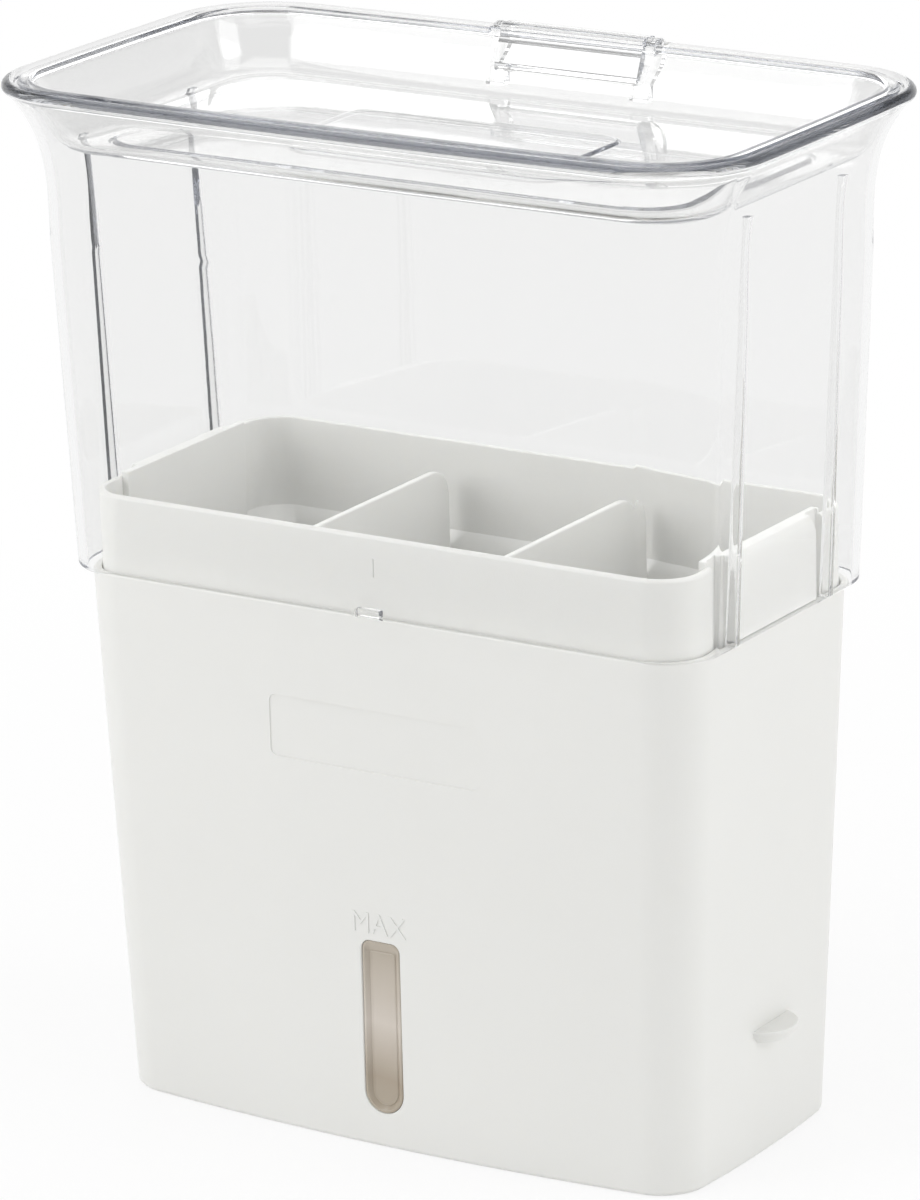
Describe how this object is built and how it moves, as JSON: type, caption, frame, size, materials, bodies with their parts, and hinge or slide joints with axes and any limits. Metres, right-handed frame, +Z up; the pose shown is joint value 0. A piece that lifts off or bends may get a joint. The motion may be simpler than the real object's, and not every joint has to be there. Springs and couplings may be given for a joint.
{
  "type": "herb keeper",
  "caption": "Upright herb keeper: white water tub with a level window, lift-out basket with dividers, and a flared clear cover with a recessed hinged lid.",
  "frame": {"origin": "centre of the tub's flat underside, which is what the keeper stands on", "axes": "+X along the keeper's length to the viewer's right, +Y towards the lid's hinge at the back, +Z up; the level window faces -Y"},
  "size_m": [0.225, 0.132, 0.2813],
  "materials": {
    "white_plastic": "satin moulded white",
    "smoke_window": "translucent smoky",
    "seal_rubber": "soft matte",
    "clear_plastic": "polished clear"
  },
  "bodies": {
    "tub": {"water_tub": "white_plastic", "level_window": "smoke_window", "window_seal": "seal_rubber"},
    "basket": {"herb_basket": "white_plastic"},
    "left_divider": {"left_divider": "white_plastic"},
    "right_divider": {"right_divider": "white_plastic"},
    "cover": {"clear_cover": "clear_plastic", "hinge_pin": "clear_plastic"},
    "lid": {"lid_tray": "clear_plastic"}
  },
  "joints": [
    {"name": "cover_lift", "type": "slide", "parent": "tub", "child": "cover", "axis": [0, 0, 1], "range_m": [0, 0.12]},
    {"name": "basket_lift", "type": "slide", "parent": "tub", "child": "basket", "axis": [0, 0, 1], "range_m": [0, 0.08]},
    {"name": "left_divider_lift", "type": "slide", "parent": "basket", "child": "left_divider", "axis": [0, 0, 1], "range_m": [0, 0.08]},
    {"name": "right_divider_lift", "type": "slide", "parent": "basket", "child": "right_divider", "axis": [0, 0, 1], "range_m": [0, 0.08]},
    {"name": "lid_flip", "type": "hinge", "parent": "cover", "child": "lid", "pos_m": [0, 0.0629, 0.2787], "axis": [-1, 0, 0], "range_deg": [0, 100]}
  ]
}
